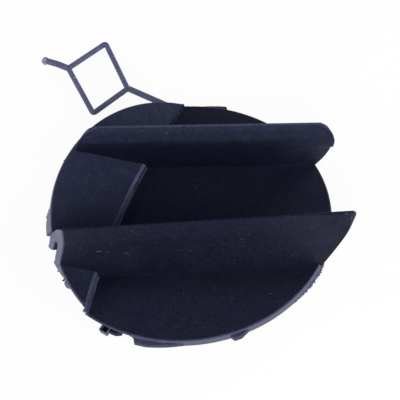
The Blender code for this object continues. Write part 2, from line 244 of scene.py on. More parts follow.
class CoverFinish(bpy.types.PropertyGroup):
    """Colours and surface of the plastic."""
    plastic: colour("Plastic", "Navy-black of the moulding", (0.0092, 0.0103, 0.0225, 1.0))
    rail: colour("Rail tone", "Slightly darker plastic of the rails", (0.0066, 0.0074, 0.0175, 1.0))
    warm: colour("Warm tone", "Slightly browner patches", (0.0104, 0.0102, 0.0185, 1.0))
    rail_warm: colour("Warm rail tone", "Patches on the lower rail", (0.0088, 0.0094, 0.0190, 1.0))
    # The scuff tone is also the painted light that makes the steep sides paler towards the left.
    pale: colour("Scuff tone", "Pale scuffs and specks", (0.16, 0.17, 0.23, 1.0))
    # Painted light: paler tone of the pad and of the rails where light falls on them.
    painted_light: colour("Paler tone", "Paler stretches of the pad and the rails", (0.0220, 0.0250, 0.0520, 1.0))
    # Edge tone: rubbed edges with a painted highlight on them, and the base of the step's painted highlight.
    edge: colour("Edge tone", "Paler rounded edges", (0.038, 0.042, 0.078, 1.0))
    # Side tone: painted light on the steep sides of the rim and on the rails' cut ends.
    side: colour("Side tone", "Paler sides of the rim and cut ends", (0.099, 0.101, 0.148, 1.0))
    # The strip tone is also the brightest part of the step's painted highlight.
    strip: colour("Strip tone", "Paler plastic of the tether", (0.090, 0.096, 0.170, 1.0))
    torn: colour("Torn tone", "Torn end of the tether", (0.36, 0.38, 0.44, 1.0))
    gloss: colour("Gloss tint", "Tint of what the surface reflects head-on", (0.40, 0.47, 0.90, 1.0))
    shine: share("Shine", "Level of what the surface reflects", 0.3)
    roughness: share("Roughness", "Roughness of the matt surface", 0.6)
    grain: number("Grain", "Fineness of the grain, per metre", 1700.0)


class StageSettings(bpy.types.PropertyGroup):
    """Floor, light and camera."""
    floor: length("Floor size", "Width of the floor", 2400.0)
    left_light: power("Left light", "Power of the low soft light on the left", 4.6)
    front_light: power("Front light", "Power of the soft light in front", 4.7)
    right_light: power("Right light", "Power of the soft light on the right", 5.0)
    far_light: power("Far light", "Power of the low soft light behind on the right", 3.4)
    sky: share("Sky", "Level of the light from all round", 0.25)
    lens: number("Lens", "Focal length of the camera", 90.0, unit="CAMERA")
    place: FloatVectorProperty(name="Camera place", description="Place of the camera", size=3, precision=5,
                               default=(21.710 * MM, -144.288 * MM, 265.012 * MM), unit="LENGTH")
    turn: FloatVectorProperty(name="Camera turn", description="Turn of the camera", size=3, subtype="EULER",
                              default=[math.radians(turn) for turn in (29.6594, 3.8612, -0.3067)])
    seed: IntProperty(name="Seed", description="Seed of the ragged flash", default=7)


def nothing_selected():
    if bpy.context.object and bpy.context.object.mode != "OBJECT":
        bpy.ops.object.mode_set(mode="OBJECT")
    bpy.ops.object.select_all(action="DESELECT")


def take_up(piece):
    """Makes one object the only selected one."""
    nothing_selected()
    piece.select_set(True)
    bpy.context.view_layer.objects.active = piece


def work_on(piece):
    """Makes one object the only selected one, in edit mode."""
    take_up(piece)
    bpy.ops.object.mode_set(mode="EDIT")


def put_down():
    bpy.ops.object.mode_set(mode="OBJECT")


def pick(piece, kind, test):
    """Selects, in edit mode, the vertices, edges or faces that pass a test."""
    bpy.ops.mesh.select_mode(type=kind)
    bpy.ops.mesh.select_all(action="DESELECT")
    shape = bmesh.from_edit_mesh(piece.data)
    items = {"VERT": shape.verts, "EDGE": shape.edges, "FACE": shape.faces}[kind]
    for item in items:
        if test(item):
            item.select_set(True)
    bmesh.update_edit_mesh(piece.data)


def swept_body(name, rings):
    """Closed body: an outline drawn on a circle's points, then extruded through the other rings."""
    nothing_selected()
    bpy.ops.mesh.primitive_circle_add(vertices=len(rings[0]), radius=0.01, fill_type="NGON")
    piece = bpy.context.object
    piece.name = name
    piece.data.name = name
    work_on(piece)
    shape = bmesh.from_edit_mesh(piece.data)
    shape.verts.ensure_lookup_table()
    for vertex, point in zip(list(shape.verts), rings[0]):
        vertex.co = point
    bmesh.update_edit_mesh(piece.data)
    for now, after in zip(rings, rings[1:]):
        bpy.ops.mesh.select_mode(type="FACE")
        bpy.ops.mesh.extrude_region_move(TRANSFORM_OT_translate={"value": (0, 0, 0)})
        shape = bmesh.from_edit_mesh(piece.data)
        for vertex in [v for v in shape.verts if v.select]:
            nearest = min(range(len(now)), key=lambda i: (vertex.co - Vector(now[i])).length_squared)
            vertex.co = after[nearest]
        bmesh.update_edit_mesh(piece.data)
    bpy.ops.mesh.select_all(action="SELECT")
    bpy.ops.mesh.normals_make_consistent(inside=False)
    put_down()
    return piece


def settle_order(piece):
    """Sorts vertices, edges and faces by place, because a boolean leaves them in another order each run."""
    def sort(elements, place):
        elements.index_update()
        rank = {element.index: i for i, element in enumerate(sorted(elements, key=place))}
        elements.sort(key=lambda element: rank[element.index])

    def corners(element):
        return sorted(tuple(vertex.co) for vertex in element.verts)

    work_on(piece)
    shape = bmesh.from_edit_mesh(piece.data)
    sort(shape.verts, lambda vertex: tuple(vertex.co))
    sort(shape.edges, corners)
    sort(shape.faces, corners)
    bmesh.update_edit_mesh(piece.data)
    put_down()


def join_shape(piece, tool, operation):
    """Boolean of a piece with a tool, which is used up."""
    take_up(piece)
    step = piece.modifiers.new("shape", "BOOLEAN")
    step.operation = operation
    step.solver = "EXACT"
    step.object = tool
    bpy.ops.object.modifier_apply(modifier=step.name)
    bpy.data.objects.remove(tool, do_unlink=True)
    if not piece.data.polygons:
        raise RuntimeError(f"{piece.name} has nothing left after {operation}")
    settle_order(piece)


def round_edges(piece, width, segments=3, limit=32.0, painted_light=True, merge=True):
    """Rounds the sharp edges, gives the rounded faces the paler finish of rubbed edges with a painted
    highlight and evens the shading.
    """
    work_on(piece)
    bpy.ops.mesh.select_all(action="SELECT")
    bpy.ops.mesh.remove_doubles(threshold=0.00001)
    if merge:
        bpy.ops.mesh.dissolve_limited(angle_limit=math.radians(1.0))
    put_down()
    bevel = piece.modifiers.new("round", "BEVEL")
    bevel.width = width
    bevel.segments = segments
    bevel.limit_method = "ANGLE"
    bevel.angle_limit = math.radians(limit)
    bevel.use_clamp_overlap = False
    if painted_light:
        bevel.material = RUBBED_AND_HIGHLIT
    bpy.ops.object.modifier_apply(modifier=bevel.name)
    bpy.ops.object.shade_smooth_by_angle(angle=math.radians(38))
    even = piece.modifiers.new("even", "WEIGHTED_NORMAL")
    even.keep_sharp = True
    bpy.ops.object.modifier_apply(modifier=even.name)


def give(piece, *materials):
    """Puts materials in the slots, in place of what was in them."""
    piece.data.materials.clear()
    for material in materials:
        piece.data.materials.append(material)


def mount(piece):
    """Lets a piece ride on the cover."""
    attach(piece, "root")


def curve_between(start, bend, end, steps):
    """Points of a smooth curve from start to end that leans on the point bend."""
    points = []
    for i in range(steps + 1):
        t = i / steps
        points.append(tuple((1 - t) ** 2 * a + 2 * t * (1 - t) * b + t * t * c
                            for a, b, c in zip(start, bend, end)))
    return points


def smooth_line(stations, steps):
    """Smooth curve through stations, with even steps between them."""
    ends = [stations[0]] + list(stations) + [stations[-1]]
    points = []
    for a, b, c, d in zip(ends, ends[1:], ends[2:], ends[3:]):
        for i in range(steps):
            t = i / steps
            points.append(tuple(0.5 * (2 * q + (r - p) * t + (2 * p - 5 * q + 4 * r - w) * t * t
                                       + (3 * q - p - 3 * r + w) * t ** 3) for p, q, r, w in zip(a, b, c, d)))
    return points + [stations[-1]]


def arc(centre, radius, start, end, steps):
    """Points of an arc in a plane, with its angles in degrees."""
    turns = [math.radians(start + (end - start) * i / steps) for i in range(steps + 1)]
    return [(centre[0] + radius * math.cos(t), centre[1] + radius * math.sin(t)) for t in turns]


def fade(part, rising, falling):
    """Level at a share of a length: it rises to one over a first share and falls over a last one."""
    return max(0.0, min(1.0, part / rising, (1.0 - part) / falling))


class Form:
    """The cover's surfaces as rules, in metres, worked out from the sizes."""

    def __init__(self, skin, rails):
        self.s = skin
        self.r = rails
        self.lean = Vector((math.tan(skin.lean_x), math.tan(skin.lean_y), 1.0))
        grade = math.tan(skin.pad_slope)
        self.slope_x = grade * math.cos(skin.pad_heading)
        self.slope_y = grade * math.sin(skin.pad_heading)
        self.pad_depth = skin.pad_thickness / math.cos(skin.pad_slope)
        self.half_x = skin.radius * skin.stretch

    def pad_plane(self, x, y):
        return self.s.skin - self.s.pad_drop + self.slope_x * x + self.slope_y * y

    def pad_z(self, x, y):
        return self.pad_plane(x, y) + self.s.pad_bow * (y * y - self.r.offset ** 2)

    def step_x(self, y):
        return self.s.step_x + self.s.step_skew * y + self.s.step_bow * y * y

    def bend_x(self, y):
        """X of the line where the pad's outer side meets the flat outer face."""
        return (self.pad_depth - self.pad_z(0, y)) / self.slope_x

    def rim(self, heading, z, out=0.0):
        """Point of the round outline at a height, moved out by a distance."""
        above = z - self.s.skin
        grow = out - self.s.flare * min(above, 0.0)
        rise = max(above, 0.0)
        return Vector(((self.half_x + grow) * math.cos(heading) + self.lean.x * rise,
                       (self.s.radius + grow) * math.sin(heading) + self.lean.y * rise, z))

    def rim_height(self, heading):
        """Height of the back face or the pad where it meets the outline."""
        z = self.s.skin
        for _ in range(12):
            edge = self.rim(heading, z)
            z = max(self.pad_z(edge.x, edge.y), self.s.skin) if edge.x < self.step_x(edge.y) else self.s.skin
        return z

    def on_rail(self, side, x, inwards, height):
        """Point of a rail. Side is -1 for the lower rail and 1 for the upper."""
        return Vector((x, side * (self.r.offset - self.r.toe_in * x - inwards), self.s.skin + height))


def current_form():
    scene = bpy.context.scene
    return Form(scene.cover_skin, scene.cover_rails)


# Finishes

class Graph:
    """Small helper that adds nodes to a material and links them."""

    def __init__(self, name):
        self.material = bpy.data.materials.new(name)
        self.material.use_nodes = True
        self.tree = self.material.node_tree
        self.shader = self.tree.nodes["Principled BSDF"]

    def add(self, kind, inputs=None, **settings):
        node = self.tree.nodes.new(kind)
        for key, value in settings.items():
            setattr(node, key, value)
        for key, value in (inputs or {}).items():
            if isinstance(value, bpy.types.NodeSocket):
                self.tree.links.new(value, node.inputs[key])
            else:
                node.inputs[key].default_value = value
        return node

    def link(self, value, name):
        """Links a value to an input of the shader."""
        self.tree.links.new(value, self.shader.inputs[name])

    def maths(self, operation, a, b):
        return self.add("ShaderNodeMath", {0: a, 1: b}, operation=operation).outputs[0]

    def times(self, first, *others):
        """Product of two or more levels."""
        for other in others:
            first = self.maths("MULTIPLY", first, other)
        return first

    def mix(self, factor, a, b, blend="MIX"):
        node = self.add("ShaderNodeMix", {"Factor": factor}, data_type="RGBA", blend_type=blend)
        for socket, value in ((node.inputs[6], a), (node.inputs[7], b)):
            if isinstance(value, bpy.types.NodeSocket):
                self.tree.links.new(value, socket)
            else:
                socket.default_value = value
        return node.outputs[2]

    def ramp(self, value, low, high, to_low=0.0, to_high=1.0):
        node = self.add("ShaderNodeMapRange", {"Value": value, "From Min": low, "From Max": high,
                                               "To Min": to_low, "To Max": to_high})
        node.interpolation_type = "SMOOTHSTEP"
        return node.outputs["Result"]

    def over(self, value, stretch, to_low=0.0, to_high=1.0):
        """Ramp over a stretch in millimetres."""
        return self.ramp(value, stretch[0] * MM, stretch[1] * MM, to_low, to_high)


def noise(graph, vector, scale, detail=3.0, rough=0.55):
    return graph.add("ShaderNodeTexNoise", {"Vector": vector, "Scale": scale, "Detail": detail,
                                            "Roughness": rough}).outputs["Fac"]


def paler_share(graph, place, paler):
    """Share of the paler tone of painted light: it depends on the height and on one more axis, and is patchy.
    """
    axes = graph.add("ShaderNodeSeparateXYZ", {"Vector": place})
    rising = graph.over(axes.outputs["Z"], paler.heights)
    along = graph.over(axes.outputs[paler.axis], paler.stretch)
    patches = noise(graph, place, PALER_PATCHES, 3.0, 0.6)
    patchy = graph.ramp(patches, 0.3, 0.7, 0.8 * paler.most, paler.most)
    return graph.times(graph.maths(paler.joined, rising, along), patchy)


def foot_shade(graph, place, most):
    """Level of painted shade that darkens the flat face in front of the lower rail's foot, as in the photo.
    """
    parts = graph.add("ShaderNodeSeparateXYZ", {"Vector": place}).outputs
    from_rim = graph.over(parts["Y"], (-29.0, -20.0))
    up_to_rail = graph.over(parts["Y"], (-18.5, -17.5), most, 0.0)
    along = graph.over(parts["X"], (-24.0, -2.0), 1.6, 1.0)
    flat = graph.over(parts["Z"], (3.4, 4.0), 1.0, 0.0)
    return graph.maths("SUBTRACT", 1.0, graph.times(from_rim, up_to_rail, flat, along))


def mottled(graph, place, grit):
    """Level of the colour, from soft blotches and fine mottling."""
    blotches = graph.ramp(noise(graph, place, BLOTCHES, 4.0), 0.35, 0.72, 0.90, 1.12)
    fine = graph.ramp(noise(graph, place, MOTTLE, 2.0, 0.7), 0.34, 0.66, 1.0 - grit, 1.0 + grit)
    return graph.times(blotches, fine)


def pale_marks(graph, place, scuffs, specks):
    """Share of the pale tone, from dragged scuffs in patches and from scattered specks."""
    drag = graph.add("ShaderNodeMapping", {"Vector": place, "Rotation": (0.0, 0.0, 0.35),
                                           "Scale": (0.16, 1.0, 1.0)})
    lines = graph.ramp(noise(graph, drag.outputs[0], SCUFF_LINES, 2.0, 0.7), 0.635, 0.72)
    patches = graph.ramp(noise(graph, place, SCUFFED_PLACES, 3.0, 0.6), 0.54, 0.70)
    scuff = graph.times(lines, patches, scuffs)
    cells = graph.add("ShaderNodeTexVoronoi", {"Vector": place, "Scale": SPECKS, "Randomness": 1.0})
    dots = graph.ramp(cells.outputs["Distance"], 0.030, 0.070, 1.0, 0.0)
    chosen = graph.add("ShaderNodeSeparateColor", {"Color": cells.outputs["Color"]})
    few = graph.ramp(chosen.outputs[0], 0.70, 1.0)
    dust = graph.times(dots, few, 0.60 * specks)
    return graph.maths("MAXIMUM", scuff, dust)


def relief(graph, place, fineness, grit):
    """Normal of the surface, from fine grain over a wide swell."""
    fine = graph.add("ShaderNodeBump", {"Height": noise(graph, place, fineness, 2.0, 0.7),
                                        "Strength": 3.0 * grit, "Distance": 0.00018})
    wide = graph.add("ShaderNodeBump", {"Height": noise(graph, place, SWELL, 1.0), "Strength": 0.22,
                                        "Distance": 0.0006, "Normal": fine.outputs[0]})
    return wide.outputs[0]


def matt_plastic(name, main, warm=None, scuffs=0.3, specks=1.0, rougher=0.0, grit=0.22, shine=1.0, paler=None,
                 paler_tone=None, foot=None):
    """Moulded plastic with cloudy colour, fine grain, scuffs, pale specks and paler stretches of painted
    light.

    Foot is how much painted shade darkens the flat face in front of the lower rail's foot.
    """
    finish = bpy.context.scene.cover_finish
    g = Graph(name)
    place = g.add("ShaderNodeTexCoord").outputs["Object"]
    tone = g.mix(g.ramp(noise(g, place, CLOUDS, 2.0), 0.42, 0.66), tuple(main), tuple(warm or main))
    # Paler stretches of painted light.
    if paler:
        tone = g.mix(paler_share(g, place, paler), tone, tuple(paler_tone or finish.painted_light))
    level = mottled(g, place, grit)
    # Painted shade in front of the lower rail's foot.
    if foot:
        level = g.times(level, foot_shade(g, place, foot))
    tone = g.mix(1.0, tone, level, "MULTIPLY")
    g.link(g.mix(pale_marks(g, place, scuffs, specks), tone, tuple(finish.pale)), "Base Color")
    rough = finish.roughness + rougher
    g.link(g.ramp(noise(g, place, POLISH, 3.0), 0.3, 0.7, rough - 0.05, rough + 0.06), "Roughness")
    g.link(relief(g, place, finish.grain, grit), "Normal")
    g.shader.inputs["Specular Tint"].default_value = finish.gloss
    g.shader.inputs["IOR"].default_value = 1.49
    g.shader.inputs["Specular IOR Level"].default_value = finish.shine * shine
    g.material.diffuse_color = tuple(main)


def finishes():
    """The cover's materials, made once."""
    f = bpy.context.scene.cover_finish
    recipes = {
        # Moulded plastic: the paler pad is painted light, and foot is painted shade in front of the lower
        # rail's foot.
        "moulded_plastic": dict(main=f.plastic, warm=f.warm, scuffs=0.34, paler=PALER_PAD, foot=0.38),
        # Rail plastics: their paler stretches are painted light.
        "upper_rail_plastic": dict(main=f.rail, scuffs=0.34, grit=0.21, paler=PALER_UPPER_RAIL),
        "lower_rail_plastic": dict(main=f.rail, warm=f.rail_warm, scuffs=0.65, specks=1.8, grit=0.30,
                                   shine=0.55, paler=PALER_LOWER_RAIL),
        # Rubbed edges with a painted highlight; it also paints light on the step's wall and a highlight along
        # the upper rail's top.
        "rubbed_edge": dict(main=f.edge, rougher=-0.06, grit=0.18),
        # Painted highlight on the step's rounded upper edge.
        "step_edge": dict(main=f.edge, rougher=-0.06, grit=0.18, paler=PALER_STEP, paler_tone=f.strip),
        # Painted light on the steep sides, paler still towards the left; it also dresses small marks on the
        # rim.
        "side_face": dict(main=f.side, scuffs=0.20, grit=0.11, paler=PALER_SIDE, paler_tone=f.pale),
        "stretched_strip": dict(main=f.strip, scuffs=0.12, specks=0.4, grit=0.16),
        "torn_plastic": dict(main=f.torn, warm=f.strip, specks=0.4, rougher=0.1),
    }
    for name, recipe in recipes.items():
        if name not in bpy.data.materials:
            matt_plastic(name, **recipe)
    return {name: bpy.data.materials[name] for name in recipes}


# Pieces

def outline_body(form):
    """Leaning body of the round outline, which the skin is cut with."""
    s = form.s
    points = 192
    rings = []
    for z in (-0.002, s.skin, s.skin + 0.025):
        rings.append([form.rim(2 * math.pi * i / points, z) for i in range(points)])
    return swept_body("outline", rings)


def skin_ring(form, y, reach):
    """Section of skin and pad at one Y: pad, rounded step, flat back face and soft bend below."""
    s = form.s
    foot = form.step_x(y)
    top = foot - s.step_run
    lip = (top, max(form.pad_z(top, y), s.skin + s.step_round / 2))
    before = (top - s.step_round, form.pad_z(top - s.step_round, y))
    part = s.step_round / math.hypot(s.step_run, lip[1] - s.skin)
    after = (lip[0] + part * s.step_run, lip[1] + part * (s.skin - lip[1]))
    bend = form.bend_x(y)
    half = s.bend_round
    toe = 0.0003
    points = [(-reach, form.pad_z(-reach, y))]
    points += curve_between(before, lip, after, 6)
    points += curve_between((foot - toe, s.skin + toe * 2), (foot, s.skin), (foot + toe, s.skin), 3)
    points += [(reach, s.skin), (reach, 0.0)]
    points += curve_between((bend + half, 0.0), (bend, 0.0),
                            (bend - half, form.pad_z(bend - half, y) - form.pad_depth), 8)
    points.append((-reach, form.pad_z(-reach, y) - form.pad_depth))
    return [Vector((x, y, z)) for x, z in points]


def undercut_body(form, first, last, depth, deepening, shallowing):
    """Body that cuts an undercut stretch out of the rim, and leaves its upper edge whole."""
    s = form.s
    rings = []
    steps = 24
    for i in range(steps + 1):
        part = i / steps
        level = fade(part, deepening, shallowing)
        heading = math.radians(first + (last - first) * part)
        back = form.rim_height(heading)
        top = back - s.undercut_land
        low = min(top - 1.2 * MM, max(back - form.pad_depth, 0.0))
        reach = depth * MM * level * level * (top - low) / s.skin - 0.1 * MM
        outer = form.rim(heading, low, 3 * MM)
        below = low - 1.5 * MM
        rings.append([Vector((outer.x, outer.y, below)), form.rim(heading, below, -reach - level * MM),
                      form.rim(heading, low, -reach), form.rim(heading, top, 0.2 * MM),
                      Vector((outer.x, outer.y, top))])
    return swept_body("undercut", rings)


def core_gap_body(form):
    """Body that cuts the gap out of the rim under the lower hook. It widens towards the outer face."""
    s, r = form.s, form.r
    far = -s.radius * 1.4
    rings = []
    for z in (-0.002, s.skin + s.gap_top):
        wide = r.wall + s.gap_width + s.gap_draft * (s.skin + s.gap_top - z)
        places = ((r.wall, s.gap_edge), (r.wall, far), (wide, far), (wide, s.gap_edge))
        rings.append([form.on_rail(-1, x, inwards, z - s.skin) for inwards, x in places])
    return swept_body("core_gap", rings)


def paint(piece, slot, test):
    """Gives the faces that pass a test the material of a slot."""
    work_on(piece)
    pick(piece, "FACE", test)
    piece.active_material_index = slot
    bpy.ops.object.material_slot_assign()
    put_down()


class COVER_OT_skin(bpy.types.Operator):
    """Round inclined skin with the raised pad, its step and the undercut rim"""
    bl_idname = "cover.skin"
    bl_label = "Skin and Pad"

    def execute(self, context):
        form = current_form()
        s = form.s
        looks = finishes()
        reach = s.radius * 1.5
        spans = 32
        rings = [skin_ring(form, reach * (-0.8 + 1.6 * i / spans), reach) for i in range(spans + 1)]
        skin = swept_body("cover_skin", rings)
        join_shape(skin, outline_body(form), "INTERSECT")
        for measures in UNDERCUTS:
            join_shape(skin, undercut_body(form, *measures), "DIFFERENCE")
        join_shape(skin, core_gap_body(form), "DIFFERENCE")
        give(skin, looks["moulded_plastic"], looks["rubbed_edge"], looks["side_face"], looks["step_edge"])
        round_edges(skin, s.edge_round)
        self.paint_skin(skin, form)
        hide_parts("tow_hook_cover")
        mount(skin)
        return {"FINISHED"}

    def paint_skin(self, skin, form):
        """Gives the rim's sides, the step's wall and its upper edge their own finishes: painted light on the
        sides and the wall, and a painted highlight on the upper edge.
        """
        s = form.s
        steep, side_from = 0.55, 0.033

        def from_middle(face):
            middle = face.calc_center_median()
            return math.hypot(middle.x / s.stretch, middle.y)

        def from_step(face):
            middle = face.calc_center_median()
            return middle.x - form.step_x(middle.y)

        def below_upper_rail(face):
            return face.calc_center_median().y < form.r.offset

        # Painted light on the rim's steep sides.
        paint(skin, SIDE, lambda f: f.material_index == MAIN and abs(f.normal.z) < steep
              and from_middle(f) > side_from)
        paint(skin, MAIN, lambda f: f.normal.z > 0 and abs(from_step(f)) < 4 * s.edge_round)
        # Painted highlight on the step's rounded upper edge.
        paint(skin, STEP, lambda f: f.normal.z > 0 and below_upper_rail(f)
              and -s.step_run - 0.8 * s.step_round < from_step(f) < -0.55 * s.step_run)
        # Painted light on the step's wall.
        paint(skin, RUBBED_AND_HIGHLIT, lambda f: f.normal.z > 0.05 and below_upper_rail(f)
              and -0.56 * s.step_run < from_step(f) < 0.0)


def rail_ring(form, side, x, hook_tip):
    """Section of a rail at one place along it."""
    r = form.r
    lean = r.crease_in / r.crease_height
    inner = lean * r.crotch + r.wall
    sunk = -0.0016
    points = [(-r.root, sunk), (-r.root, 0.0), (0.0, r.root)]
    points += curve_between((lean * (r.crease_height - 2 * MM), r.crease_height - 2 * MM),
                            (r.crease_in, r.crease_height),
                            (r.crease_in + 0.2 * MM, r.crease_height + 2 * MM), 4)
    points += arc((r.apex_in, r.height - r.apex_round), r.apex_round, 170, 30, 5)
    points += curve_between((r.brow_in - 0.5 * MM, r.brow_height + MM), (r.brow_in, r.brow_height),
                            (r.brow_in + 0.25 * MM, r.brow_height - 1.3 * MM), 4)
    points += curve_between((r.reach - 0.3 * MM, r.shoulder + 1.8 * MM), (r.reach, r.shoulder),
                            (r.reach - 0.05 * MM, r.shoulder - 1.4 * MM), 4)
    points += arc((r.tip_in, hook_tip + r.tip_round), r.tip_round, -20, -170, 6)
    points += curve_between((inner + 0.45 * MM, r.crotch - 1.2 * MM), (inner + 0.25 * MM, r.crotch),
                            (inner - 0.1 * MM, r.crotch - 1.2 * MM), 4)
    points += [(r.wall, r.root), (r.wall + r.root, 0.0), (r.wall + r.root, sunk)]
    return [form.on_rail(side, x, inwards, height) for inwards, height in points]


def end_body(form, side, stations, skew, towards):
    """Body that keeps a rail up to the curved outline of one end."""
    low, beside = -4 * MM, 3 * MM
    far = -towards * form.s.radius * 1.6
    top = form.r.height + 2 * MM
    rim_x = form.half_x * math.sqrt(1.0 - (form.r.offset / form.s.radius) ** 2)
    line = [(towards * (rim_x + past * MM), z * MM) for past, z in smooth_line(stations, 5)]
    view = [(line[0][0] - towards * MM, low)] + line
    view += [(line[-1][0] - towards * 0.1 * MM, top), (far, top), (far, low)]
    rings = []
    for inwards in (-beside, form.r.reach + beside):
        rings.append([form.on_rail(side, x + skew * inwards, inwards, z) for x, z in view])
    return swept_body("end_body", rings)


def above_skin_body(form):
    """Body over the middle of the skin, so that no rail shows under it."""
    s = form.s
    reach = s.radius * 1.5
    top = s.skin + form.r.height + 0.002
    rings = []
    for y in (-reach, reach):
        low = form.pad_plane(-reach, y) - form.pad_depth / 2
        middle = (s.skin / 2 - form.pad_plane(0.0, y) + form.pad_depth / 2) / form.slope_x
        view = ((-reach, low), (middle, s.skin / 2), (reach, s.skin / 2), (reach, top), (-reach, top))
        rings.append([Vector((x, y, z)) for x, z in view])
    return swept_body("above_skin", rings)


class COVER_OT_rails(bpy.types.Operator):
    """Both snap rails with their folded hooks and curved ends"""
    bl_idname = "cover.rails"
    bl_label = "Snap Rails"

    def execute(self, context):
        form = current_form()
        looks = finishes()
        for name, side, tip_size, left, left_skew, right in RAILS:
            hook_tip = getattr(form.r, tip_size)
            rail = swept_body(name, [rail_ring(form, side, x, hook_tip) for x in RAIL_SECTIONS])
            join_shape(rail, end_body(form, side, left, left_skew, -1), "INTERSECT")
            join_shape(rail, end_body(form, side, right, RIGHT_SKEW, 1), "INTERSECT")
            join_shape(rail, above_skin_body(form), "INTERSECT")
            give(rail, looks[name + "_plastic"], looks["rubbed_edge"], looks["side_face"])
            round_edges(rail, form.r.edge_round, 3, 42.0, merge=False)
            self.paint_rail(rail, form, side, hook_tip)
            mount(rail)
        return {"FINISHED"}

    def paint_rail(self, rail, form, side, hook_tip):
        """Keeps low edges and the right end dark, and makes the left end paler with painted light and the
        upper rail's top paler with a painted highlight.
        """
        low = form.s.skin + hook_tip + 0.002
        top = form.s.skin + form.r.height - form.r.apex_round
        paint(rail, MAIN, lambda f: f.material_index == RUBBED_AND_HIGHLIT and abs(f.normal.x) < 0.3
              and f.calc_center_median().z < low)
        # Painted light on the faces of the left end.
        paint(rail, SIDE, lambda f: f.material_index == MAIN and f.normal.x < -0.5)
        paint(rail, MAIN, lambda f: f.material_index == RUBBED_AND_HIGHLIT and f.normal.x > 0.3
              and f.calc_center_median().x > 0.0)
        # Painted highlight along the upper rail's top.
        paint(rail, RUBBED_AND_HIGHLIT, lambda f: f.material_index == MAIN and side > 0
              and f.calc_center_median().z > top)


def strip_along(name, points, thickness, closed=False, bend=0.0):
    """Rounded strip along points: a circle's points are moved, bent and given thickness as a curve."""
    nothing_selected()
    bpy.ops.mesh.primitive_circle_add(vertices=max(len(points), 3), radius=0.01, fill_type="NOTHING")
    made = bpy.context.object
    made.name = name
    work_on(made)
    shape = bmesh.from_edit_mesh(made.data)
    shape.verts.ensure_lookup_table()
    loose = list(shape.verts)
    for vertex, point in zip(loose, points):
        vertex.co = point
    if not closed:
        last = shape.edges.get((loose[0], loose[-1]))
        if last:
            shape.edges.remove(last)
        for vertex in loose[len(points):]:
            shape.verts.remove(vertex)
    bmesh.update_edit_mesh(made.data)
    if bend:
        bpy.ops.mesh.select_mode(type="VERT")
        bpy.ops.mesh.select_all(action="SELECT")
        bpy.ops.mesh.bevel(offset_type="OFFSET", offset=bend, segments=5, affect="VERTICES")
    put_down()
    bpy.ops.object.convert(target="CURVE")
    made = bpy.context.object
    made.data.bevel_depth = thickness / 2
    made.data.bevel_resolution = 4
    made.data.use_fill_caps = True
    bpy.ops.object.convert(target="MESH")
    made = bpy.context.object
    bpy.ops.object.shade_smooth_by_angle(angle=math.radians(50))
    return made


def nub(name, place, radii, rough, look, seed, turn=0.0):
    """Small uneven lump: a ball sized in millimetres, turned, pulled out here and there and roughened."""
    nothing_selected()
    bpy.ops.mesh.primitive_ico_sphere_add(subdivisions=4, radius=MM, location=place)
    made = bpy.context.object
    made.name = name
    bpy.ops.object.transform_apply(location=True, rotation=True, scale=True)
    work_on(made)
    bpy.ops.mesh.select_all(action="SELECT")
    bpy.ops.transform.resize(value=radii, center_override=place)
    bpy.ops.transform.rotate(value=-turn, orient_axis="Z", center_override=place)
    pick(made, "VERT", lambda v: (v.index * 37) % 23 == seed)
    bpy.ops.transform.shrink_fatten(value=rough * MM)
    bpy.ops.mesh.select_all(action="SELECT")
    bpy.ops.transform.vertex_random(offset=rough * 0.3 * MM, uniform=0.3, normal=0.7, seed=seed)
    put_down()
    give(made, look)
    bpy.ops.object.shade_smooth_by_angle(angle=math.radians(40))
    mount(made)


class COVER_OT_tether(bpy.types.Operator):
    """Thin tether: strip from the rim, four-sided loop and torn stub"""
    bl_idname = "cover.tether"
    bl_label = "Tether"

    def execute(self, context):
        sizes = context.scene.cover_marks
        looks = finishes()
        radius = context.scene.cover_skin.radius

        def points(places):
            return [Vector((x * MM, radius + y * MM, sizes.height)) for x, y in places]

        loop = strip_along("tether_loop", points(TETHER_LOOP), sizes.strip, True, sizes.bend)
        run = strip_along("tether_strip", points(TETHER_ROOT), sizes.strip * 1.12)
        stub = strip_along("tether_stub", points(STUB_PATH), sizes.strip * 1.18)
        for made in (loop, run, stub):
            give(made, looks["stretched_strip"])
            mount(made)
        end = points(STUB_PATH)[-1]
        nub("torn_end", end + Vector((-0.0003, 0.0, 0.0)), (1.15, 1.35, 1.1), 0.3, looks["torn_plastic"], 3)
        burr = points([BURR_PLACE])[0] + Vector((0.0, 0.0, sizes.strip * 0.4))
        nub("strip_burr", burr, (0.42, 0.3, 0.35), 0.05, looks["torn_plastic"], 5)
        return {"FINISHED"}


def rim_ridge(form, name, start, end, steps, section):
    """Ridge along the rim. Section gives its (outwards, height) points at a share of its length."""
    rings = []
    for i in range(steps + 1):
        part = i / steps
        rings.append([form.rim(start + (end - start) * part, z, out) for out, z in section(part)])
    return swept_body(name, rings)


def box_on_rim(name, heading, near, far, width, low, high):
    """Box that points out from the disc's centre: a cube moved, sized and turned."""
    nothing_selected()
    bpy.ops.mesh.primitive_cube_add(size=1, location=((near + far) / 2, 0, (low + high) / 2))
    made = bpy.context.object
    made.name = name
    made.scale = (far - near, width, high - low)
    bpy.ops.object.transform_apply(location=True, rotation=True, scale=True)
    work_on(made)
    bpy.ops.mesh.select_all(action="SELECT")
    bpy.ops.transform.rotate(value=-heading, orient_axis="Z", center_override=(0, 0, 0))
    put_down()
    return made


def finish_mark(piece, look):
    """Rounds a mark on the rim and mounts it."""
    give(piece, look)
    round_edges(piece, MARK_ROUND, 2, 40.0, False)
    mount(piece)


def ledge_section(reach, top, rising, falling):
    """Section of a ledge that swells out of the rim and sinks back into it."""
    foot = 0.15 * MM

    def section(part):
        level = fade(part, rising, falling)
        out = (reach * level - (1.0 - level) * 0.15) * MM
        return [(-SINK, foot), (out, foot), (out, top * MM), (-SINK, top * MM)]

    return section


